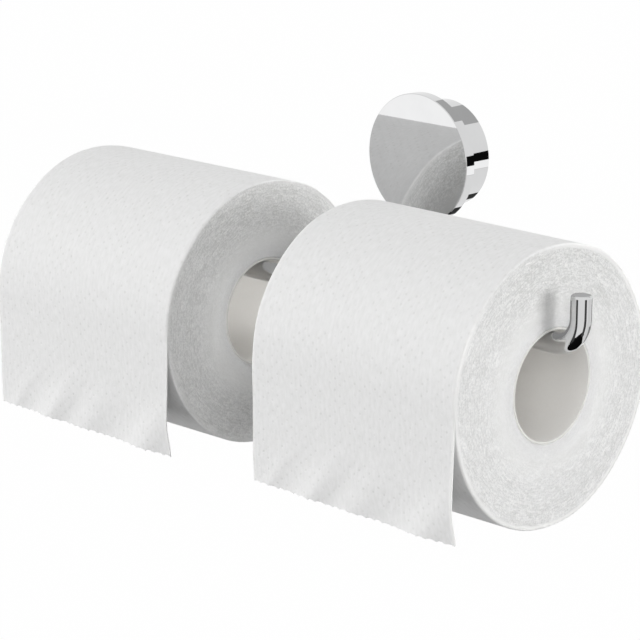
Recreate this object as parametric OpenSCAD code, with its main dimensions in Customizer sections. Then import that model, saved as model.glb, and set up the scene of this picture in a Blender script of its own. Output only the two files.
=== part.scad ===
// Wall holder for two toilet rolls: a round rosette on the wall, an arm that drops and
// reaches forward, and a crossbar with an upturned end for each roll.
// Millimetres. The wall is the plane y = 0 and the room is towards -Y. +X is right and
// +Z is up as seen from the room. The origin is the rosette's centre on the wall.

/* [Rolls] */
// Width of a paper roll
roll_w = 98; // [90:1:110]
// Outer diameter of a paper roll
roll_d = 103.6; // [90:0.2:116]
// Inner diameter of the cardboard core
core_d = 40.8; // [38:0.2:46]
// Wall of the cardboard core
core_wall = 0.9; // [0.6:0.1:1.4]
// Thickness of one embossed turn of paper
paper_t = 0.5; // [0.4:0.05:0.8]
// Rounding of the wound paper's outer rims
rim_r = 1.5; // [0.8:0.1:3]
// Rounding of the wound paper's inner rims
inner_rim_r = 0.8; // [0.4:0.1:1.5]
// Gap between the two rolls
roll_gap = 46.3; // [36:0.1:60]

/* [Hanging sheets] */
// Length of sheet that hangs below the roll's axis
tail_h = 46; // [30:1:70]
// Height of the wavy stretch above the torn edge
wave_h = 20; // [12:1:28]
// How far the largest wave stands proud of the sheet
wave_d = 1.2; // [0.4:0.1:2.5]
// Sideways lean of the waves over their height
wave_lean = 12; // [0:1:20]
// Pitch of the teeth on the torn edge
tooth_w = 3.5; // [3:0.1:6]
// Height of the teeth on the torn edge
tooth_h = 0.8; // [0.3:0.1:1.5]

/* [Crossbar] */
// Diameter of the crossbar and of the arm
rod_d = 7.8; // [7:0.1:9]
// Distance from the wall to the crossbar's axis
bar_out = 79; // [74:0.5:95]
// Drop from the rosette's centre to the crossbar's axis
bar_drop = 38.6; // [37:0.2:50]
// Bend radius of the upturned ends, on the rod's axis
bend_r = 11; // [9:0.5:13]
// Distance from a roll's outer face to the axis of the upturned end
end_gap = 11.9; // [10:0.1:20]
// Height of the upturned ends above the crossbar's axis
end_rise = 19.6; // [16:0.2:26]
// Rounding of the upturned ends' tips
tip_r = 0.9; // [0.4:0.1:1.5]

/* [Arm] */
// Bend radius of the arm, on the rod's axis
arm_bend_r = 14; // [10:0.5:15]
// How deep the arm's upper end sits in the neck
arm_seat = 2.8; // [2.4:0.1:3.4]
// Diameter of the spigot that joins the arm to the crossbar
spigot_d = 5; // [4:0.1:5.5]
// Length of that spigot inside the crossbar
spigot_l = 5; // [3:0.1:5.4]

/* [Rosette] */
// Diameter of the front disc
face_d = 51.7; // [48:0.1:60]
// Thickness of the front disc
face_t = 4.9; // [3:0.1:7]
// Bevel around both edges of the front disc
face_bevel = 0.3; // [0.1:0.1:0.8]
// Length of the register that centres the disc in the neck
register_l = 2; // [1:0.1:2.1]
// Diameter of the neck behind the disc
neck_d = 42.6; // [42:0.1:46]
// Length of the neck, from the wall to the front disc
neck_l = 13.5; // [13:0.1:18]
// Wall of the neck
neck_wall = 2.3; // [1.8:0.1:2.6]
// Width of the boss that holds the arm
boss_w = 14; // [12:0.5:15]
// Thickness of the boss above the arm's end
boss_floor = 3; // [2.5:0.1:3.5]

/* [Wall bracket] */
// Thickness of the wall bracket
bracket_t = 6; // [5.4:0.1:7]
// Distance between the two wall screws
screw_spacing = 24; // [21:0.5:25]
// Diameter of the wall screw holes
screw_hole_d = 4.5; // [4:0.1:5]
// Diameter of the countersinks for the wall screws
screw_head_d = 9; // [8:0.1:10]
// Depth of the groove in the bracket's rim
groove_d = 1.5; // [1.2:0.1:1.8]

/* [Fixings] */
// Thread diameter of the grub screw
grub_d = 4; // [3.8:0.1:4.2]
// Direction of the grub screw around the neck, from +X towards +Z
grub_angle = -125; // [-135:1:-122]
// Width of the grub screw's hexagon socket, corner to corner
grub_socket_d = 2.3; // [2:0.1:2.6]
// Thread diameter of the arm's screw
arm_screw_d = 5; // [4:0.1:5.2]
// Length of thread inside the arm
arm_screw_l = 8; // [5:0.5:10]
// Head diameter of the arm's screw
arm_head_d = 8.8; // [8:0.1:9]
// Head height of the arm's screw
arm_head_t = 2.8; // [2.2:0.1:3]
// Width of that head's hexagon socket, corner to corner
arm_socket_d = 3.5; // [3:0.1:4]

/* [Clearances] */
// Gap between the crossbar and a core that hangs on it
hang_gap = 0.3; // [0.2:0.05:0.5]
// Gap between the wound paper and the outer turn
turn_gap = 0.3; // [0.2:0.05:0.5]
// Radial gap between the neck and the wall bracket
bracket_fit = 0.2; // [0.1:0.05:0.3]
// Radial gap around the register, rods, spigot and threads
close_fit = 0.05; // [0.02:0.01:0.1]
// Gap between the boss or the screw head and what is beside it
boss_gap = 0.5; // [0.3:0.1:0.8]

/* [Hidden] */
$fn = 96;

// How far a cut runs past the faces that it opens
overrun = 1;

// Radii
rod_r = rod_d / 2;
roll_r = roll_d / 2;
core_r = core_d / 2;
core_outer_r = core_r + core_wall;
turn_r = roll_r - paper_t;
wound_r = turn_r - turn_gap;
neck_r = neck_d / 2;
neck_bore_r = neck_r - neck_wall;
face_r = face_d / 2;
bracket_r = neck_bore_r - bracket_fit;
grub_r = grub_d / 2;
arm_screw_r = arm_screw_d / 2;
spigot_r = spigot_d / 2;

// Places of the rolls: each core hangs on top of the crossbar
roll_x = roll_gap / 2 + roll_w / 2;
roll_z = -bar_drop + rod_r + hang_gap - core_r;

// Half the distance between the axes of the two upturned ends
bar_half = roll_gap / 2 + roll_w + end_gap;

// The arm enters the neck half way along it
arm_out = neck_l / 2;
arm_top = -(neck_r - arm_seat);
boss_top = arm_top + boss_floor;
boss_depth = 2 * (neck_l - register_l - arm_out) - boss_gap;

// The outer turn stops short of a full turn, where the web dives under the hanging sheet
turn_angle = 350;

// Waves of the hanging sheet: centre and half width as shares of the sheet's width, and
// height as a share of the largest wave
wave_shares = [[0.18, 0.055, 1], [0.44, 0.06, 0.6], [0.61, 0.05, 0.7], [0.74, 0.045, 0.9],
               [0.98, 0.05, 1]];
teeth = round(roll_w / tooth_w);
flat_rows = 1;
wave_rows = 6;

// Turns a shape that is drawn around +Z so that it points out of the wall
module out_of_wall(distance = 0) {
    translate([0, -distance, 0]) rotate([90, 0, 0]) children();
}

// Places a shape on a roll's axis: its +X faces the room, its +Y up, its Z is the axis
module on_roll(side) {
    translate([side * roll_x, -bar_out, roll_z]) rotate([90, 0, -90]) children();
}

// A quarter bend of rod in the XY plane, from +X to +Y about the origin
module rod_bend(radius) {
    rotate_extrude(angle = 90) translate([radius, 0]) circle(rod_r);
}

// A tube around Z, centred on the origin
module tube(outer, inner, length) {
    difference() {
        cylinder(r = outer, h = length, center = true);
        cylinder(r = inner, h = length + 2 * overrun, center = true);
    }
}

module wall_bracket() {
    groove_r = bracket_r - groove_d;
    countersink = (screw_head_d - screw_hole_d) / 2;
    notch_top = boss_top + arm_head_t + boss_gap;
    color("lightslategray") difference() {
        out_of_wall() rotate_extrude() polygon([
            [0, 0],
            [bracket_r, 0],
            [bracket_r, bracket_t / 2 - groove_d],
            [groove_r, bracket_t / 2],
            [bracket_r, bracket_t / 2 + groove_d],
            [bracket_r, bracket_t],
            [0, bracket_t]
        ]);
        for (side = [-1, 1]) translate([side * screw_spacing / 2, 0, 0]) {
            out_of_wall(-overrun) cylinder(d = screw_hole_d, h = bracket_t + 2 * overrun);
            out_of_wall(bracket_t - countersink)
                cylinder(d1 = screw_hole_d, d2 = screw_head_d, h = countersink);
        }
        translate([-boss_w / 2 - boss_gap, -bracket_t - overrun, -bracket_r - overrun])
            cube([boss_w + 2 * boss_gap, bracket_t + 2 * overrun, notch_top + bracket_r + overrun]);
    }
}

module rosette_neck() {
    color("gainsboro") difference() {
        union() {
            out_of_wall(neck_l / 2) tube(neck_r, neck_bore_r, neck_l);
            intersection() {
                translate([-boss_w / 2, -arm_out - boss_depth / 2, -neck_r])
                    cube([boss_w, boss_depth, boss_top + neck_r]);
                out_of_wall() cylinder(r = neck_r - neck_wall / 2, h = neck_l);
            }
        }
        translate([0, -arm_out, arm_top - neck_r]) cylinder(r = rod_r + close_fit, h = neck_r);
        translate([0, -arm_out, arm_top - overrun])
            cylinder(r = arm_screw_r + close_fit, h = boss_floor + 2 * overrun);
        out_of_wall(bracket_t / 2) rotate([0, 0, grub_angle]) rotate([0, 90, 0])
            cylinder(r = grub_r + close_fit, h = neck_r + overrun);
    }
}

module rosette_front_disc() {
    register_r = neck_bore_r - close_fit;
    color("whitesmoke") out_of_wall(neck_l - register_l) rotate_extrude() polygon([
        [0, 0],
        [register_r, 0],
        [register_r, register_l],
        [face_r - face_bevel, register_l],
        [face_r, register_l + face_bevel],
        [face_r, register_l + face_t - face_bevel],
        [face_r - face_bevel, register_l + face_t],
        [0, register_l + face_t]
    ]);
}

module grub_screw() {
    tip_start = bracket_r - groove_d + 2 * close_fit;
    cone_end = tip_start + grub_r;
    grub_end = neck_r - close_fit;
    socket_l = (grub_end - cone_end) / 2;
    color("dimgray") out_of_wall(bracket_t / 2) rotate([0, 0, grub_angle]) rotate([0, 90, 0])
        difference() {
            union() {
                translate([0, 0, tip_start]) cylinder(r1 = close_fit, r2 = grub_r, h = grub_r);
                translate([0, 0, cone_end]) cylinder(r = grub_r, h = grub_end - cone_end);
            }
            translate([0, 0, grub_end - socket_l])
                cylinder(d = grub_socket_d, h = socket_l + overrun, $fn = 6);
        }
}

module arm() {
    bend_y = -arm_out - arm_bend_r;
    bend_z = -bar_drop + arm_bend_r;
    spigot_end = bar_out - rod_r + spigot_l;
    color("silver") difference() {
        union() {
            translate([0, -arm_out, bend_z]) cylinder(r = rod_r, h = arm_top - bend_z);
            translate([0, bend_y, bend_z]) rotate([-90, 0, 90]) rod_bend(arm_bend_r);
            difference() {
                translate([0, 0, -bar_drop]) out_of_wall(-bend_y) cylinder(r = rod_r, h = bar_out + bend_y);
                translate([0, -bar_out, -bar_drop]) rotate([0, 90, 0])
                    cylinder(r = rod_r + close_fit, h = rod_d + 2 * overrun, center = true);
            }
            translate([0, 0, -bar_drop]) out_of_wall(bar_out - rod_d)
                cylinder(r = spigot_r, h = spigot_end - bar_out + rod_d);
        }
        translate([0, -arm_out, arm_top - arm_screw_l - overrun])
            cylinder(r = arm_screw_r + close_fit, h = arm_screw_l + 2 * overrun);
    }
}

module arm_screw() {
    color("darkgray") translate([0, -arm_out, boss_top]) difference() {
        union() {
            translate([0, 0, -boss_floor - arm_screw_l])
                cylinder(r = arm_screw_r, h = boss_floor + arm_screw_l + arm_head_t / 2);
            cylinder(d = arm_head_d, h = arm_head_t);
        }
        translate([0, 0, arm_head_t / 2])
            cylinder(d = arm_socket_d, h = arm_head_t / 2 + overrun, $fn = 6);
    }
}

module crossbar() {
    bore_l = spigot_l + close_fit;
    upright_l = end_rise - bend_r;
    color("silver") translate([0, -bar_out, -bar_drop]) difference() {
        union() {
            rotate([0, 90, 0]) cylinder(r = rod_r, h = 2 * (bar_half - bend_r), center = true);
            for (side = [0, 1]) mirror([side, 0, 0]) {
                translate([bar_half - bend_r, 0, bend_r]) rotate([90, 0, 0]) rotate([0, 0, -90])
                    rod_bend(bend_r);
                translate([bar_half, 0, bend_r]) cylinder(r = rod_r, h = upright_l - tip_r);
                translate([bar_half, 0, end_rise - tip_r]) rotate_extrude() tip_outline();
            }
        }
        translate([0, rod_r - bore_l, 0]) rotate([-90, 0, 0])
            cylinder(r = spigot_r + close_fit, h = bore_l + overrun);
    }
}

// Half of a rod's rounded tip, beside the rod's axis
module tip_outline() {
    square([rod_r - tip_r, tip_r]);
    intersection() {
        translate([rod_r - tip_r, 0]) circle(tip_r);
        square([rod_r, tip_r]);
    }
}

module roll_core(side) {
    color("tan") on_roll(side) tube(core_outer_r, core_r, roll_w);
}

// Half of the wound paper's cross section, beside the roll's axis, with four soft rims
module wound_outline() {
    inner = core_outer_r + close_fit;
    half_w = roll_w / 2;
    translate([inner, -half_w + inner_rim_r]) square([inner_rim_r, roll_w - 2 * inner_rim_r]);
    translate([inner + inner_rim_r, -half_w])
        square([wound_r - inner - inner_rim_r - rim_r, roll_w]);
    translate([wound_r - rim_r, -half_w + rim_r]) square([rim_r, roll_w - 2 * rim_r]);
    for (end = [-1, 1]) {
        translate([inner + inner_rim_r, end * (half_w - inner_rim_r)]) circle(inner_rim_r);
        translate([wound_r - rim_r, end * (half_w - rim_r)]) circle(rim_r);
    }
}

module wound_paper(side) {
    color("white") on_roll(side) rotate_extrude() wound_outline();
}

module outer_turn(side) {
    color("white") on_roll(side) rotate_extrude(angle = turn_angle)
        translate([turn_r, -roll_w / 2]) square([paper_t, roll_w]);
}

// How far the sheet stands forward at a share of its width and a height above its edge
function wave(across, above) =
    let (
        grow = max(0, 1 - above / wave_h),
        shifted = across - wave_lean / roll_w * above / wave_h,
        sizes = [for (w = wave_shares) w[2] * exp(-pow((shifted - w[0]) / w[1], 2))]
    )
    wave_d * grow * grow * (3 - 2 * grow) * sum(sizes);

function sum(list, i = 0) = i < len(list) ? list[i] + sum(list, i + 1) : 0;

// The sheet is a grid of points, two columns to a tooth, whose lowest row is the torn edge
module hanging_sheet(side) {
    columns = 2 * teeth;
    rows = flat_rows + wave_rows;
    depths = concat(
        [for (i = [0 : flat_rows - 1]) (tail_h - wave_h) * i / flat_rows],
        [for (i = [0 : wave_rows]) tail_h - wave_h + wave_h * i / wave_rows]
    );
    function point(row, column, back) =
        let (
            across = column / columns,
            tooth = row == rows && column % 2 == 0 ? tooth_h : 0,
            depth = depths[row] - tooth
        )
        [(across - 1 / 2) * roll_w, back * paper_t - wave(across, tail_h - depths[row]), -depth];
    points = [
        for (back = [0, 1]) for (row = [0 : rows]) for (column = [0 : columns])
            point(row, column, back)
    ];
    stride = columns + 1;
    sheet = stride * (rows + 1);
    front = [
        for (row = [0 : rows - 1]) for (column = [0 : columns - 1])
            let (a = row * stride + column)
            each [[a, a + 1, a + stride], [a + 1, a + stride + 1, a + stride]]
    ];
    rear = [for (f = front) [f[0] + sheet, f[2] + sheet, f[1] + sheet]];
    sides = [
        for (row = [0 : rows - 1])
            let (a = row * stride, b = a + columns)
            each [
                [a, a + stride, a + sheet],
                [a + stride, a + stride + sheet, a + sheet],
                [b, b + sheet, b + stride],
                [b + stride, b + sheet, b + stride + sheet]
            ]
    ];
    ends = [
        for (column = [0 : columns - 1])
            let (a = column, b = rows * stride + column)
            each [
                [a, a + sheet, a + 1],
                [a + 1, a + sheet, a + 1 + sheet],
                [b, b + 1, b + sheet],
                [b + 1, b + 1 + sheet, b + sheet]
            ]
    ];
    color("white") translate([side * roll_x, -bar_out - roll_r, roll_z])
        polyhedron(points = points, faces = concat(front, rear, sides, ends));
}

wall_bracket();
rosette_neck();
rosette_front_disc();
grub_screw();
arm();
arm_screw();
crossbar();
roll_core(-1);  // left_core
wound_paper(-1);  // left_wound_paper
outer_turn(-1);  // left_outer_turn
hanging_sheet(-1);  // left_hanging_sheet
roll_core(1);  // right_core
wound_paper(1);  // right_wound_paper
outer_turn(1);  // right_outer_turn
hanging_sheet(1);  // right_hanging_sheet
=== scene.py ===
import math

import bpy
import numpy as np
from mathutils import Matrix, Vector


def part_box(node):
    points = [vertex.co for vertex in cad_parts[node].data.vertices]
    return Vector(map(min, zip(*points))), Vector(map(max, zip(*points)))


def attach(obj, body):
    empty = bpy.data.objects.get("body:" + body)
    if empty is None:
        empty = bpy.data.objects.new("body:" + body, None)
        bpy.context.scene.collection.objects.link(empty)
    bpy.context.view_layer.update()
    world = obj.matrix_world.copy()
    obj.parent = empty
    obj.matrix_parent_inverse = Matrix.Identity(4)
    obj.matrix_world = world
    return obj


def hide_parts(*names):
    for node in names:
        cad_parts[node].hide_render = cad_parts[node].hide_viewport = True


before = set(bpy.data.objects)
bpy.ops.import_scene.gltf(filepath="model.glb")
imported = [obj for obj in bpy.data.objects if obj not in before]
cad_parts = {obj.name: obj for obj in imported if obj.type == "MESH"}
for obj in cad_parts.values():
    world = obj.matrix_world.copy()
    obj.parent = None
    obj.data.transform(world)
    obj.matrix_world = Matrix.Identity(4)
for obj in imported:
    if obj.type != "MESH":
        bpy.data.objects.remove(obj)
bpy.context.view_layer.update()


# The wall bracket is a die-cast zinc disc, screwed to the wall by two countersunk screws.
# Its rim has a groove for the grub screw. It is left as cast, satin and faintly mottled.
class Shade:
    """A socket of a finish: sums on it add Math nodes, and add() puts in any other node."""

    def __init__(self, tree, socket=None):
        self.tree = tree
        self.socket = socket

    def add(self, kind, settings=None, values=None, output=0):
        """A node of that kind: its settings are set first, then its sockets' values or links."""
        node = self.tree.nodes.new("ShaderNode" + kind)
        for name, value in (settings or {}).items():
            setattr(node, name, value)
        for name, value in (values or {}).items():
            if isinstance(name, str):
                into = next(s for s in node.inputs if s.enabled and s.name == name)
            else:
                into = node.inputs[name]
            if isinstance(value, Shade):
                self.tree.links.new(value.socket, into)
            else:
                into.default_value = value
        if not node.outputs:
            return None
        if isinstance(output, str):
            return Shade(self.tree, next(s for s in node.outputs if s.enabled and s.name == output))
        return Shade(self.tree, next(s for s in list(node.outputs)[output:] if s.enabled))

    def of(self, output):
        """Another output of the same node."""
        return Shade(self.tree, self.socket.node.outputs[output])

    def maths(self, operation, other=0.0, flipped=False):
        pair = (other, self) if flipped else (self, other)
        return self.add("Math", {"operation": operation}, dict(enumerate(pair)))

    def __add__(self, other):
        return self.maths("ADD", other)

    def __sub__(self, other):
        return self.maths("SUBTRACT", other)

    def __rsub__(self, other):
        return self.maths("SUBTRACT", other, True)

    def __mul__(self, other):
        return self.maths("MULTIPLY", other)

    def __truediv__(self, other):
        return self.maths("DIVIDE", other)

    def __pow__(self, other):
        return self.maths("POWER", other)

    __radd__ = __add__
    __rmul__ = __mul__

    def ramp(self, low, high):
        """0 below low, 1 above high, and smooth in between."""
        return self.add("MapRange", {"interpolation_type": "SMOOTHSTEP"},
                        {"Value": self, "From Min": low, "From Max": high})

    def noise(self, place, scale, detail=2.0, rough=0.5):
        """Soft noise from 0 to 1, with that many features to the metre."""
        return self.add(
            "TexNoise", {},
            {"Vector": place, "Scale": scale, "Detail": detail, "Roughness": rough})

    def stored(self, name):
        """A number that the mesh keeps for each of its points."""
        return self.add("Attribute", {"attribute_name": name}, output="Fac")

    def bump(self, strength, distance, height):
        """The normal of a surface with that relief."""
        return self.add("Bump", {}, {"Strength": strength, "Distance": distance, "Height": height})

    def tint(self, share, colour, other):
        """A colour on its way from one to another."""
        return self.add("Mix", {"data_type": "RGBA"}, {"Factor": share, "A": colour, "B": other})


def new_finish(name):
    """A finish without nodes, and the shade that adds them."""
    finish = bpy.data.materials.new(name)
    finish.use_nodes = True
    finish.node_tree.nodes.clear()
    return finish, Shade(finish.node_tree)


def surface_of(shade, **sockets):
    """Ends a finish in one Principled shader."""
    named = {name.replace("_", " "): value for name, value in sockets.items()}
    shader = shade.add("BsdfPrincipled", {}, named)
    shade.add("OutputMaterial", {}, {"Surface": shader})


def dress(node, finish):
    """Gives a carried piece its finish."""
    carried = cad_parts[node]
    for holder in carried.material_slots:
        holder.material = finish


def cast_zinc():
    finish, shade = new_finish("cast_zinc")
    place = shade.add("TexCoord", output="Object")
    flow = shade.noise(place, 180.0, 3.0)
    grain = shade.noise(place, 2600.0, 2.0)
    surface_of(
        shade,
        Base_Color=shade.tint(flow, (0.44, 0.45, 0.47, 1), (0.60, 0.61, 0.63, 1)),
        Metallic=1.0,
        Roughness=0.38 + 0.16 * grain,
        Normal=shade.bump(0.35, 0.00015, grain + flow),
    )
    return finish


dress("wall_bracket", cast_zinc())


# The rosette's neck is a turned brass cup, chromed, that drops over the bracket. The front
# disc is a thick chromed disc that a register centres in it. Both are polished like mirrors.
def polished_chrome():
    finish, shade = new_finish("polished_chrome")
    place = shade.add("TexCoord", output="Object")
    wiped = shade.noise(place, 70.0, 4.0, 0.6)
    cloud = wiped.ramp(0.35, 0.75)
    surface_of(
        shade,
        Base_Color=shade.tint(cloud, (0.665, 0.667, 0.67, 1), (0.645, 0.647, 0.65, 1)),
        Metallic=1.0,
        Roughness=0.008 + 0.014 * cloud,
    )
    return finish


chrome = polished_chrome()
for node in ("rosette_neck", "rosette_front_disc"):
    dress(node, chrome)


# The grub screw under the neck and the cap screw inside it are plain stainless steel, rolled
# and turned, so fine rings run round them.
def plain_steel():
    finish, shade = new_finish("plain_steel")
    place = shade.add("TexCoord", output="Object")
    rings = shade.noise(place, 4200.0, 1.0)
    stain = shade.noise(place, 260.0, 3.0)
    surface_of(
        shade,
        Base_Color=shade.tint(stain, (0.36, 0.36, 0.37, 1), (0.52, 0.52, 0.54, 1)),
        Metallic=1.0,
        Roughness=0.28 + 0.14 * rings,
        Normal=shade.bump(0.2, 0.00005, rings),
    )
    return finish


steel = plain_steel()
for node in ("grub_screw", "arm_screw"):
    dress(node, steel)


# The arm and the crossbar are bent rods. A spigot on the arm sits in the crossbar, and a bead
# of braze closes the seam around it. All of it is polished and chromed together.
for node in ("arm", "crossbar"):
    dress(node, chrome)


crease_angle = math.radians(50)


def piece(name, points, body, capped=False):
    """A smooth mesh whose faces join neighbours in a grid of points, and that rides on a body.
    Every row is a ring. The last row joins the first, but a capped piece has both of them
    closed, each between its two halves."""
    rows, columns = points.shape[:2]
    number = np.arange(rows * columns).reshape(rows, columns)
    caps = []
    if capped:
        for row in (number[0], number[-1, ::-1]):
            front, back = row[:columns // 2], row[:columns // 2 - 1:-1]
            caps += np.stack([front[1:], front[:-1], back[:-1], back[1:]], axis=1).tolist()
    else:
        number = np.vstack([number, number[:1]])
    number = np.hstack([number, number[:, :1]])
    corners = (number[:-1, :-1], number[:-1, 1:], number[1:, 1:], number[1:, :-1])
    faces = np.stack([c.ravel() for c in corners], axis=1)
    mesh = bpy.data.meshes.new(name)
    mesh.from_pydata(points.reshape(-1, 3).tolist(), [], faces.tolist() + caps)
    mesh.polygons.foreach_set("use_smooth", [True] * len(mesh.polygons))
    mesh.set_sharp_from_angle(angle=crease_angle)
    made = bpy.data.objects.new(name, mesh)
    bpy.context.scene.collection.objects.link(made)
    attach(made, body)
    return made


bar_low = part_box("crossbar")[0]
core_low, core_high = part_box("left_core")
bar_y = (core_low.y + core_high.y) / 2
rod_r = bar_y - bar_low.y
bar_z = bar_low.z + rod_r
bead_r = 0.0005


def braze_bead():
    """A thin bead along the saddle where two rods of one size meet."""
    steps, sides = 96, 10
    around = np.linspace(0, math.tau, steps, endpoint=False)
    right, up, none = np.cos(around), np.sin(around), np.zeros(steps)
    centre = rod_r * np.stack([right, abs(right), up], axis=1)
    out = np.stack([right, none, up], axis=1)
    off = np.stack([none, none + 1, none], axis=1)
    section = np.linspace(0, math.tau, sides, endpoint=False)[:, None, None]
    points = centre + bead_r * (np.cos(section) * out + np.sin(section) * off)
    return piece("braze_bead", points + (0, bar_y, bar_z), "holder")


bead = braze_bead()
bead.data.materials.append(chrome)


# Each roll is wound on a core of pale board: two strips glued in a spiral, whose seam shows
# as a small step inside. The core hangs on the crossbar and turns with the wound paper.
roll_w = core_high.x - core_low.x
core_outer_r = (core_high.z - core_low.z) / 2
axis_y = bar_y
axis_z = (core_low.z + core_high.z) / 2
board_t = 0.0009
strip_step = 0.00012
strip_pitch = 0.105
mouth_r = 0.00025
set_back = 0.0002
core_sides = 144
core_rings = 80
mouth_steps = 4


def roll_centre(side):
    low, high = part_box(f"{side}_core")
    return (low.x + high.x) / 2


def round_roll(side, across, radius, turn):
    """Points around a roll's axis: turn starts at the front and runs over the top."""
    x = roll_centre(side) + across
    y = axis_y - radius * np.cos(turn)
    z = axis_z + radius * np.sin(turn)
    return np.stack(np.broadcast_arrays(x, y, z), axis=-1)


def mark(made, **stored):
    """Stores numbers for each point, for the finish to read."""
    for name, values in stored.items():
        layer = made.data.attributes.new(name, "FLOAT", "POINT")
        layer.data.foreach_set("value", values.ravel().astype(np.float32))


def board_core(side):
    """A tube of board with soft mouths, and the seam's step on its inside."""
    turn = np.linspace(0, math.tau, core_sides, endpoint=False)[None, :]
    half = roll_w / 2 - set_back
    run = np.linspace(-half + mouth_r, half - mouth_r, core_rings)
    bend = np.linspace(0, math.pi / 2, mouth_steps)[:-1]
    mouth = half - mouth_r + mouth_r * np.sin(bend)
    lip = mouth_r * (1 - np.cos(bend))
    inner_r = core_outer_r - board_t
    across = np.concatenate([
        run, mouth[1:], [half, half], mouth[:0:-1],
        run[::-1], -mouth[1:], [-half, -half], -mouth[:0:-1]])
    flat = np.zeros(len(run))
    inner = np.concatenate([flat, lip[1:], [mouth_r]])
    outer = np.concatenate([[mouth_r], lip[:0:-1], flat])
    depth = np.concatenate([
        inner_r + inner, core_outer_r - outer, core_outer_r - lip[1:],
        [core_outer_r - mouth_r], [inner_r + mouth_r], inner_r + lip[:0:-1]])
    across = across[:, None]
    depth = depth[:, None] + np.zeros_like(turn)
    seam = (turn / math.tau - across / strip_pitch) % 1
    inside = (depth < inner_r + board_t / 2).astype(float)
    depth = depth + inside * strip_step * (seam - 0.5)
    points = round_roll(side, across, depth, turn)
    made = piece(f"{side}_board_core", points, f"{side}_roll")
    mark(made, cut_edge=(abs(across) > half - mouth_r) + 0.0 * depth)
    made.data.materials.append(board)
    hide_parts(f"{side}_core")


def grey_board():
    finish, shade = new_finish("grey_board")
    place = shade.add("TexCoord", output="Object")
    pulp = shade.noise(place, 900.0, 5.0, 0.65)
    patch = shade.noise(place, 60.0, 2.0)
    cream, pale, wear_and_shading = (0.965, 0.95, 0.92, 1), (0.985, 0.97, 0.945, 1), (0.93, 0.925, 0.90, 1)
    # The cut edge at each mouth is painted darker than the board: painted shade, for the shadow
    # line between the core and the paper.
    cut_shade = (0.77, 0.765, 0.735, 1)
    colour = shade.tint(pulp.ramp(0.3, 0.7), cream, pale)
    colour = shade.tint(patch.ramp(0.4, 0.8) * 0.4, colour, wear_and_shading)
    surface_of(
        shade,
        Base_Color=shade.tint(shade.stored("cut_edge"), colour, cut_shade),
        Roughness=0.88 + 0.08 * pulp,
        Normal=shade.bump(0.25, 0.0001, pulp),
    )
    return finish


board = grey_board()
for side in ("left", "right"):
    board_core(side)


# The wound paper is one long web of soft tissue. The ends of its turns make a fibrous face
# that is never quite flat, and the few outermost turns stay with the loose end.
roll_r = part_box("left_outer_turn")[1].z - axis_z
hang = axis_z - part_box("left_hanging_sheet")[0].z
roll_sides = 240
turn_pitch = 0.0005
still_r = 0.047
play = 0.00003
inner_rim_r = 0.0005
ring_step = 0.0006
ridge_h = 0.00009
ridge_count = 28
face_x = roll_w / 2 - 0.00015
rim_r = 0.00055
rim_x = face_x - rim_r
# How strong the painted highlight along the rims is, at the left and the right end of each roll.
rim_shine = {"left": (0.4, 0.4), "right": (0.4, 1.0)}
sag_step = 15
sag_reach = 11
slope_reach = 40
start_angle = math.radians(20)
sags = {
    "left": (0.9, 0.8, 0.4, -0.1, 0.1, 0.1, -0.1, -0.1, 0.7, 1.0, 1.0, 1.0,
             1.0, 1.0, 0.9, 0.8, 0.7, 0.4, 0.4, 0.6, 0.7, 0.5, 0.6, 0.9),
    "right": (1.0, 1.6, 1.4, 1.0, 1.0, 0.4, -0.2, -0.1, 0.7, 0.8, 0.7, 1.1,
              1.8, 2.2, 1.8, 1.6, 1.9, 2.0, 1.5, 1.5, 1.6, 1.1, 0.9, 0.8),
}
slopes = {"left": 0.9, "right": 0.1}
ridges = np.random.default_rng(11)
ridge_terms = [
    (
        ridges.integers(0, 9),
        ridges.uniform(150, 1100),
        ridges.uniform(0, math.tau),
        ridges.uniform(0.3, 1),
    )
    for _ in range(ridge_count)
]
dot_x = 0.00241
dot_z = 0.00208
dot_drift = 0.4


def smooth(share):
    """0 below 0, 1 above 1, and an even curve in between."""
    share = np.clip(share, 0, 1)
    return share * share * (3 - 2 * share)


def outside(side, turn, share):
    """Radius of the roll's surface at a share of its width. The loose outer turns sag off the
    round, by so many millimetres at every step, and slope down on top to the left end."""
    degrees = np.degrees(turn)
    total, sag = 0, 0
    for step, depth in enumerate(sags[side]):
        off = (degrees - sag_step * step + 180) % 360 - 180
        weight = np.exp(-(off / sag_reach) ** 2)
        total, sag = total + weight, sag + weight * depth
    slope = slopes[side] * (1 - share) * np.exp(-((degrees - 90) / slope_reach) ** 2)
    return roll_r - turn_pitch * turn / math.tau + (sag / total - slope) / 1000


def under(side, turn, share):
    """Radius under the outermost turn, which rises to the surface where that turn begins."""
    return outside(side, turn, share) - turn_pitch * smooth((math.tau - turn) / start_angle)


def ridge(radius, turn):
    """How far the edges of the turns stand out of the roll's end, at a radius and a turn."""
    total = 0
    for lobes, pitch, start, size in ridge_terms:
        total = total + size * np.sin(lobes * turn + pitch * radius * math.tau / 6 + start)
    return ridge_h * total / 3


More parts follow.
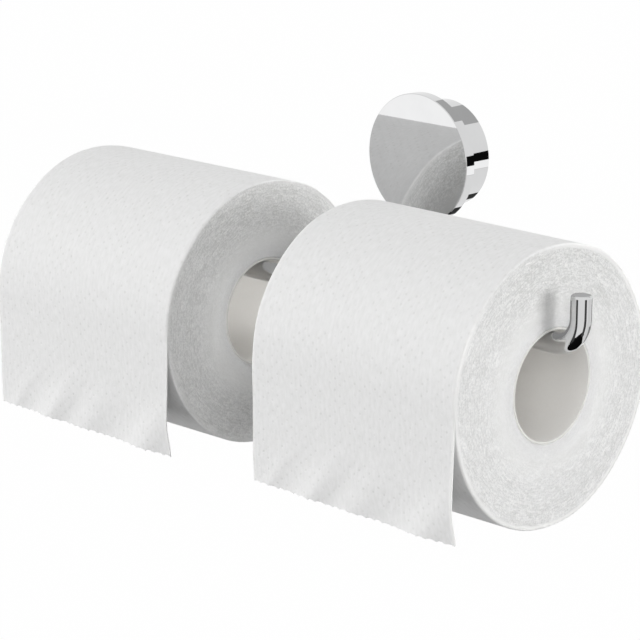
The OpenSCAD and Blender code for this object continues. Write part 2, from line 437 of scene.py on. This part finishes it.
def wound_body(side):
    """The turns that spin with the core, with a soft rim round the core."""
    turn = np.linspace(0, math.tau, roll_sides, endpoint=False)[None, :]
    first = core_outer_r + play
    bend = np.linspace(0, math.pi / 2, 6)[:0:-1]
    rings = np.arange(first + inner_rim_r, still_r - play, ring_step)
    radius = np.concatenate([first + inner_rim_r * (1 - np.sin(bend)), rings, [still_r - play]])
    drop = np.concatenate([inner_rim_r * (1 - np.cos(bend)), np.zeros(len(rings) + 1)])
    face = face_x - drop
    radius = radius[:, None]
    uneven = ridge(radius, turn)
    right = face[:, None] + uneven * (drop[:, None] == 0)
    left = -face[:, None] + uneven[:, ::-1] * (drop[:, None] == 0)
    across = np.concatenate([right, left[::-1]])
    radius = np.concatenate([radius, radius[::-1]]) + np.zeros_like(turn)
    points = round_roll(side, across, radius, turn)
    made = piece(f"{side}_wound_turns", points, f"{side}_roll")
    ends, soft = np.ones(radius.shape), np.zeros(radius.shape)
    mark(made, end_face=ends, soft_rim=soft, web_across=across, web_along=radius * turn)
    made.data.materials.append(tissue)
    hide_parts(f"{side}_wound_paper")


def still_turns(side):
    """The few turns under the loose end: a soft ring with rounded rims."""
    turn = np.linspace(0, math.tau, roll_sides, endpoint=False)[None, :]
    bend = np.linspace(0, math.pi / 2, 7)[:, None]
    rise = np.linspace(0, 1, 11)[:-1, None]
    body = np.linspace(rim_x, 0, 12)[1:, None]
    across, radius = [], []
    for hand in (1, -1):
        top = under(side, turn, 0.5 + hand * rim_x / roll_w)
        face = still_r + rise * (top - rim_r - still_r)
        across.append(hand * np.concatenate([
            face_x + ridge(face, turn) * (1 - rise ** 3),
            rim_x + rim_r * np.cos(bend) + 0 * turn,
            body + 0 * turn]))
        radius.append(np.concatenate([
            face,
            top - rim_r + rim_r * np.sin(bend),
            under(side, turn, 0.5 + hand * body / roll_w)]))
    across = np.concatenate([across[0], across[1][-2::-1]])
    radius = np.concatenate([radius[0], radius[1][-2::-1]])
    over_rim = smooth(1 - bend[:, 0] * 2 / math.pi)
    ends = np.concatenate([np.ones(len(rise)), over_rim, np.zeros(len(body))])
    ends = np.concatenate([ends, ends[-2::-1]])[:, None] + 0 * turn
    # The painted highlight along the rims covers the rounded rims and the turns' outer face, at
    # each end's strength.
    shine_l, shine_r = rim_shine[side]
    soft = np.concatenate([smooth((rise[:, 0] - 0.75) / 0.2), np.ones(len(bend) + len(body))])
    soft = np.concatenate([shine_r * soft, shine_l * soft[-2::-1]])[:, None] + 0 * turn
    points = round_roll(side, across, radius, turn)
    made = piece(f"{side}_still_turns", points, f"{side}_sheet")
    mark(made, end_face=ends, soft_rim=soft, web_across=across, web_along=radius * turn)
    made.data.materials.append(tissue)


def pressed_dots(shade, place, across, along):
    """Depth of the embossing: staggered rows of dots that drift a little and fade in places."""
    a = across / dot_x + (shade.noise(place, 220.0, 2.0) - 0.5) * dot_drift
    b = along / dot_z + (shade.noise(place, 190.0, 2.0) - 0.5) * dot_drift
    even, odd = (a + b) * 0.5, (a - b) * 0.5
    even_off = even - even.maths("ROUND")
    odd_off = odd - odd.maths("ROUND")
    off_x = (even_off + odd_off) * (dot_x * 1000)
    off_z = (even_off - odd_off) * (dot_z * 1000)
    dot = 1 - ((off_x * off_x + off_z * off_z) ** 0.5).ramp(0.12, 0.72)
    return dot * shade.noise(place, 160.0, 1.0).ramp(0.3, 0.7)


def embossed_tissue():
    """Pressed dots and creases on the faces of the web, and fibres on the ends of its turns, with
    painted shade in their hollows and painted highlights on the fibres and rims.
    """
    finish, shade = new_finish("embossed_tissue")
    place = shade.add("TexCoord", output="Object")
    ends, soft = shade.stored("end_face"), shade.stored("soft_rim")
    across, along = shade.stored("web_across"), shade.stored("web_along")
    depth = pressed_dots(shade, place, across, along)
    web = {"X": across * 800.0 + along * 70.0, "Y": along * 270.0, "Z": 0.0}
    streaks = shade.noise(shade.add("CombineXYZ", {}, web), 1.0, 1.0, 0.5)
    crinkle = shade.noise(place, 420.0, 3.0, 0.6)
    height = crinkle * 0.45 + streaks * 1.1 - depth * 0.55

    spot = shade.add("SeparateXYZ", {}, {"Vector": place})
    y = spot.of("Y") - axis_y
    z = spot.of("Z") - axis_z
    radius = (y * y + z * z) ** 0.5
    upper = (z / radius).ramp(0.45, 1.0)
    front = 1 - (y / radius).ramp(-0.3, 0.3)
    # The painted rim highlight is weaker on the front half of the roll and weaker still on its
    # upper front.
    soft = soft * ((y / radius).ramp(-0.6, 0.0) * 0.4 + 0.6) * (1 - upper * front * 0.8)
    warp = shade.noise(place, 260.0, 2.0)
    polar = {"X": radius * 1700.0 + warp * 2.4, "Y": y / radius * 13.0, "Z": z / radius * 13.0}
    fibres = shade.noise(shade.add("CombineXYZ", {}, polar), 1.0, 3.0, 0.65)
    strands = 1 - (fibres - 0.5).maths("ABSOLUTE").ramp(0.0, 0.045)
    crumbs = shade.noise(place, 1300.0, 3.0, 0.7)
    ends = (ends + (crumbs - 0.5) * 0.8).ramp(0.35, 0.65) * (1 - soft * 0.85)
    clouds = shade.noise(place, 130.0, 3.0, 0.6)
    fuzz = fibres * 0.55 + crumbs * 0.45
    relief = (1 - ends) * height + ends * (fuzz * 2.8 + strands * 0.7)
    # How strong the end face's painted fibre shade and highlights are: a quarter at the core, all
    # of it from 34 mm out.
    wear_and_shading = radius.ramp(0.021, 0.034) * 0.75 + 0.25
    # A painted highlight: a lighter ring on the end face, from about 22 to 38 mm out.
    swell_highlight = radius.ramp(0.0225, 0.0285) * (1 - radius.ramp(0.029, 0.038))
    # Painted shade on the end face: darker in the crevices between the fibres. It also has random
    # darker clouds, is darker towards the top, and a little darker from 36 mm out.
    dark = (1 - fuzz.ramp(0.38, 0.56)) * 0.40 + clouds.ramp(0.4, 0.7) * 0.12 + upper * 0.16
    dark = dark + radius.ramp(0.036, 0.041) * 0.05
    # The web's own light grey, with painted shade in the pressed dots and along the low streaks,
    # and lighter on the high streaks.
    dot_and_streak_shade = depth * 0.27 + 0.11 + (0.5 - streaks) * 0.40
    # Painted highlights: the end face's strands and high fibres, its lighter ring and the rims all
    # take the lit colour.
    light = (strands * crumbs.ramp(0.42, 0.54)).maths("MAXIMUM", fuzz.ramp(0.53, 0.61)) * wear_and_shading
    pale = ends * light.maths("MAXIMUM", swell_highlight * 0.5)
    pale = pale.maths("MAXIMUM", soft * (0.9 - upper * 0.45))
    paper, shaded, lit = (0.88, 0.88, 0.88, 1), (0.58, 0.585, 0.565, 1), (0.98, 0.98, 0.965, 1)
    colour = shade.tint((1 - ends) * dot_and_streak_shade + ends * wear_and_shading * dark, paper, shaded)
    surface_of(
        shade,
        Base_Color=shade.tint(pale * 0.95, colour, lit),
        Roughness=0.92,
        Specular_IOR_Level=0.2,
        Normal=shade.bump(0.6, 0.00022, relief),
    )
    return finish


tissue = embossed_tissue()
for side in ("left", "right"):
    wound_body(side)
    still_turns(side)


# The loose end is one sheet of two-ply tissue: a turn around the roll, its edges drawn in
# over the rims, and a short stretch that hangs down in soft folds to the torn perforation.
last_turn = math.radians(356)
width_steps = 85
curl_steps = 8
hang_steps = 56
turn_steps = 190
sheet_t = 0.00042
curl_angle = math.radians(62)
curl_from = -0.008
curl_over = 0.020
hang_bend = 0.015
slant_right = 0.0009
slant_left = -0.0003
flare_h = 0.012
flare_right = 0.0015
flare_left = 0.0006
waist_h = 0.023
waist_w = 0.010
waist_in = 0.0004
behind_from = math.radians(135)
behind_over = math.radians(35)
shine_w = 0.0009
wave_h = 0.026
wave_d = 0.0012
wave_lean = 0.0185
waves = ((0.08, 0.045, 0.4), (0.30, 0.075, 1.15), (0.51, 0.085, 0.8), (0.85, 0.095, 1.45))
drawn = {"left": (0.0, 0.0009), "right": (-0.0007, 0.0004)}
teeth = 24
tooth_h = 0.0008
tooth_fade = 0.003
tears = np.random.default_rng(5)


def wave(share, above):
    """How far the sheet stands forward at a share of its width and a height above its edge."""
    shifted = share - wave_lean / roll_w * above / wave_h
    folds = sum(size * np.exp(-((shifted - centre) / width) ** 2) for centre, width, size in waves)
    return wave_d * smooth(1 - above / wave_h) * folds


def torn(share):
    """How far the torn edge rises above its lowest points."""
    uneven = np.arange(1, teeth) + tears.uniform(-0.16, 0.16, teeth - 1)
    cusps = np.concatenate([[0], uneven / teeth, [1]])
    heights = tears.uniform(0.55, 1.0, teeth) * tooth_h
    tooth = np.clip(np.searchsorted(cusps, share, side="right") - 1, 0, teeth - 1)
    within = (share - cusps[tooth]) / (cusps[tooth + 1] - cusps[tooth])
    return heights[tooth] * np.sin(math.pi * np.clip(within, 0, 1)) ** 0.7


def both_skins(values):
    """A row's values on the front, and back again on the other skin."""
    return np.concatenate([values, values[:, ::-1]], axis=1)


def loose_end(side):
    """A closed skin around the sheet, from the torn edge up and then around the roll."""
    curl_l = (rim_r + turn_pitch - sheet_t) * curl_angle
    flat, curled = np.linspace(0, rim_x, width_steps), np.linspace(0, curl_l, curl_steps)
    half = np.concatenate([flat, rim_x + curled[1:]])
    place = np.concatenate([-half[:0:-1], half])[None, :]
    below = np.linspace(hang, 0, hang_steps)[:-1]
    turn = np.concatenate([np.zeros(len(below)), np.linspace(0, last_turn, turn_steps)])[:, None]
    below = np.concatenate([below, np.zeros(turn_steps)])[:, None]
    along = turn * roll_r - below

    share = place / (2 * half[-1]) + 0.5
    above = hang - below
    hangs = smooth(below / hang_bend)
    slant = (slant_right - slant_left) * share + slant_left
    edge = torn(share) * smooth(1 - above / tooth_fade) - slant * below / hang
    corner = smooth(1 - above / flare_h)
    waist = np.exp(-((above - waist_h) / waist_w) ** 2)
    flare = smooth(share * 3 - 2) * (flare_right * corner - waist_in * waist)
    flare = (flare + smooth(1 - share * 3) * flare_left * corner) * hangs
    ahead = smooth((behind_from - turn) / behind_over)
    flare = flare + (drawn[side][0] * ahead + drawn[side][1] * hangs) * (1 - share)
    forward = wave(share, above) * (below > 0)
    curl = smooth((along - curl_from) / curl_over)
    top, lower = outside(side, turn, share), under(side, turn, share)
    inner = top - np.minimum(sheet_t, top - lower - play)
    bend_r = (rim_r + inner - lower) / np.maximum(curl, 1e-4)
    over = np.maximum(abs(place) - rim_x, 0) / bend_r
    lip = np.clip((abs(place) - rim_x) / curl_l, 0, 1) * curl
    thick = (top - inner) * (1 - 0.85 * lip)
    skins = []
    for off in (thick, 0 * thick):
        x = np.where(over > 0, rim_x + np.sin(over) * (bend_r + off), abs(place))
        x = x * np.sign(place) + flare
        out = inner + forward - (1 - np.cos(over)) * bend_r + np.cos(over) * off
        y = axis_y - out * np.cos(turn)
        z = axis_z + out * np.sin(turn) - below + edge
        skins.append(np.stack(np.broadcast_arrays(roll_centre(side) + x, y, z), axis=-1))
    points = np.concatenate([skins[0], skins[1][:, ::-1]], axis=1)
    made = piece(f"{side}_loose_end", points, f"{side}_sheet", capped=True)
    # A painted highlight along the sheet's curled edges, shine_w wide, at each end's strength.
    shine_l, shine_r = rim_shine[side]
    soft = smooth((abs(place) - rim_x) / shine_w + 1) * np.where(place > 0, shine_r, shine_l)
    mark(
        made,
        end_face=both_skins(smooth((lip - 0.2) / 0.6)),
        soft_rim=both_skins(soft + 0 * lip),
        web_across=both_skins(place + 0 * lip),
        web_along=both_skins(along + 0 * lip),
    )
    made.data.materials.append(tissue)
    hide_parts(f"{side}_outer_turn", f"{side}_hanging_sheet")


for side in ("left", "right"):
    loose_end(side)


# The studio: a pale floor well below the holder, soft lamps around it, and a white room that
# the chrome mirrors. Flags and panels, boards that only mirrors see, give the chrome its lines.
floor_z = -2
floor_w = 40
room_light = 0.47
lamp_reach = 2.5
bar_end = (0.133, -0.079, -0.04)
rosette = (0, -0.015, 0)
square = ((-1, -1), (1, -1), (1, 1), (-1, 1))


def seen_directly(shade):
    """1 for what the camera or a mirror sees, and 0 for the light that falls on other things."""
    ray = shade.add("LightPath")
    direct = ray.of("Is Camera Ray").maths("MAXIMUM", ray.of("Is Glossy Ray"))
    return direct.maths("MAXIMUM", ray.of("Is Transmission Ray"))


def floor_finish():
    finish, shade = new_finish("pale_floor")
    plain = shade.add("BsdfDiffuse", {}, {"Color": (0.2, 0.2, 0.2, 1)})
    white = shade.add("Emission", {}, {"Color": (1, 1, 1, 1), "Strength": 1.0})
    both = shade.add("MixShader", {}, {0: seen_directly(shade) * 0.995, 1: plain, 2: white})
    shade.add("OutputMaterial", {}, {"Surface": both})
    return finish


def even_glow(name, strength):
    """A finish that glows evenly in white or grey."""
    finish, shade = new_finish(name)
    glow = shade.add("Emission", {}, {"Color": (1, 1, 1, 1), "Strength": strength})
    shade.add("OutputMaterial", {}, {"Surface": glow})
    return finish


def away(start, azimuth, elevation, distance):
    """A point in a direction: azimuth from +X to +Y, elevation up, in degrees."""
    a, e = math.radians(azimuth), math.radians(elevation)
    way = Vector((math.cos(a) * math.cos(e), math.sin(a) * math.cos(e), math.sin(e)))
    return Vector(start) + distance * way


def stage_board(name, centre, towards, width, height, finish, shares=square):
    """A flat board whose face looks at a point, with its corners at shares of its half sides."""
    mesh = bpy.data.meshes.new(name)
    corners = [(width / 2 * x, height / 2 * y, 0) for x, y in shares]
    mesh.from_pydata(corners, [], [tuple(range(len(corners)))])
    mesh.materials.append(finish)
    made = bpy.data.objects.new(name, mesh)
    bpy.context.scene.collection.objects.link(made)
    made.location = centre
    made.rotation_euler = (Vector(towards) - Vector(centre)).to_track_quat("Z", "Y").to_euler()
    return made


def flag(name, centre, towards, width, height, finish, shares=square):
    """A board that shows in mirrors only."""
    made = stage_board(name, centre, towards, width, height, finish, shares)
    for kind in ("camera", "diffuse", "transmission", "shadow"):
        setattr(made, "visible_" + kind, False)


stage_board("floor", (0, 0, floor_z), (0, 0, 0), floor_w, floor_w, floor_finish())

black = even_glow("black_flag", 0.005)
dusk = even_glow("dark_grey_flag", 0.045)
smoke = even_glow("smoke_flag", 0.07)
dim = even_glow("dim_flag", 0.27)
grey = even_glow("grey_flag", 0.52)
light = even_glow("light_grey_flag", 0.75)
pearl = even_glow("pearl_flag", 0.86)
shadow = even_glow("shadow_flag", 0.3)
bright = even_glow("bright_panel", 1.3)
ground_cut = (
    (1, 1), (-0.06, 1), (-0.27, 0.79), (-0.56, 0.62), (-0.84, 0.36), (-1, 0.04),
    (-1, -0.18), (-0.78, -0.54), (-0.33, -0.96), (-0.11, -1), (1, -1),
)
edge_cut = ((-1, -1), (1, -1), (1, -0.1), (0.25, 0.3), (0.25, 1), (-1, 1))
flag("ground_flag", (0.1, -0.22, -0.8), (0.1, -0.22, 2), 1.8, 1.56, black, ground_cut)
flag("right_flag", away(bar_end, -2.8, -28, 0.85), bar_end, 0.36, 0.75, smoke)
flag("left_flag", away(bar_end, -97, -28, 0.85), bar_end, 0.37, 0.75, smoke)
flag("edge_flag", (0.136, 0.014, -0.0765), (0.136, -0.079, -0.0765), 0.105, 0.077, dim, edge_cut)
# The shade and tip flags lie flat against the right roll's end face, and only the chrome sees them:
# painted shade in the hook's reflection of that face.
flag("shade_flag", (0.1213, -0.075, -0.029), (0.133, -0.075, -0.029), 0.018, 0.011, shadow)
flag("tip_flag", (0.1218, -0.063, -0.0135), (0.133, -0.063, -0.0135), 0.034, 0.013, grey)
flag("side_flag", away(rosette, 46, -4, 1.8), rosette, 0.4, 0.37, black)
flag("low_flag", away(rosette, 106.5, -41.0, 1.0), rosette, 0.24, 0.175, dusk)
flag("high_flag", away(rosette, 94, 40, 1.8), rosette, 1.2, 0.45, grey)
flag("line_flag", away(rosette, 50, -19.9, 0.2), rosette, 0.133, 0.0015, light)
flag("back_panel", away(rosette, 50, -14, 0.2), rosette, 0.133, 0.039, bright)
flag("front_panel", away(rosette, -133, 0, 2.6), rosette, 3.0, 3.0, bright)
flag("low_panel", (2.1, -2.0, -0.88), (2.1, -2.0, 2), 3.8, 3.6, even_glow("light_panel", 0.98))
flag("side_panel", away(bar_end, 46, -28, 0.13), bar_end, 0.1, 0.13, pearl)


def soft_lamp(name, azimuth, elevation, size, power):
    """A square lamp that looks at the rolls and doesn't show in mirrors."""
    aim = Vector((0, -0.079, -0.05))
    lamp = bpy.data.lights.new(name, "AREA")
    lamp.shape = "SQUARE"
    lamp.size = size
    lamp.energy = power
    made = bpy.data.objects.new(name, lamp)
    bpy.context.scene.collection.objects.link(made)
    made.location = away(aim, azimuth, elevation, lamp_reach)
    made.rotation_euler = (made.location - aim).to_track_quat("Z", "Y").to_euler()
    made.visible_glossy = False


soft_lamp("right_lamp", 16, 2, 1.15, 28.3)
soft_lamp("front_lamp", -43, 16, 1.5, 16.4)
soft_lamp("left_lamp", 199, 2, 0.5, 43)
soft_lamp("top_lamp", -60, 86, 2.0, 13)
soft_lamp("back_lamp", 100, 28, 1.5, 13)
soft_lamp("low_lamp", -90, -30, 1.6, 13.5)

world = bpy.data.worlds.new("white_room")
bpy.context.scene.world = world
world.use_nodes = True
world.node_tree.nodes.clear()
shade = Shade(world.node_tree)
room = shade.add("Background", {}, {"Color": (1, 1, 1, 1), "Strength": room_light})
white = shade.add("Background", {}, {"Color": (1, 1, 1, 1), "Strength": 1.0})
both = shade.add("MixShader", {}, {0: seen_directly(shade), 1: room, 2: white})
shade.add("OutputWorld", {}, {"Surface": both})


# The camera stands to the right of the holder, a little above it, and looks at it through a
# long lens. Its place and angles were fitted to the outlines in the photo.
camera_place = (0.76373, -0.86422, 0.24616)
camera_azimuth = math.radians(43.98)
camera_dip = math.radians(15.31)
camera_lean = math.radians(0.204)
camera_data = bpy.data.cameras.new("camera")
camera_data.lens = 166.9
camera_data.sensor_width = 36
camera = bpy.data.objects.new("camera", camera_data)
bpy.context.scene.collection.objects.link(camera)
camera.matrix_world = (
    Matrix.Translation(camera_place)
    @ Matrix.Rotation(camera_azimuth, 4, "Z")
    @ Matrix.Rotation(math.pi / 2 - camera_dip, 4, "X")
    @ Matrix.Rotation(camera_lean, 4, "Z")
)
bpy.context.scene.camera = camera
bpy.context.scene.view_settings.view_transform = "Standard"
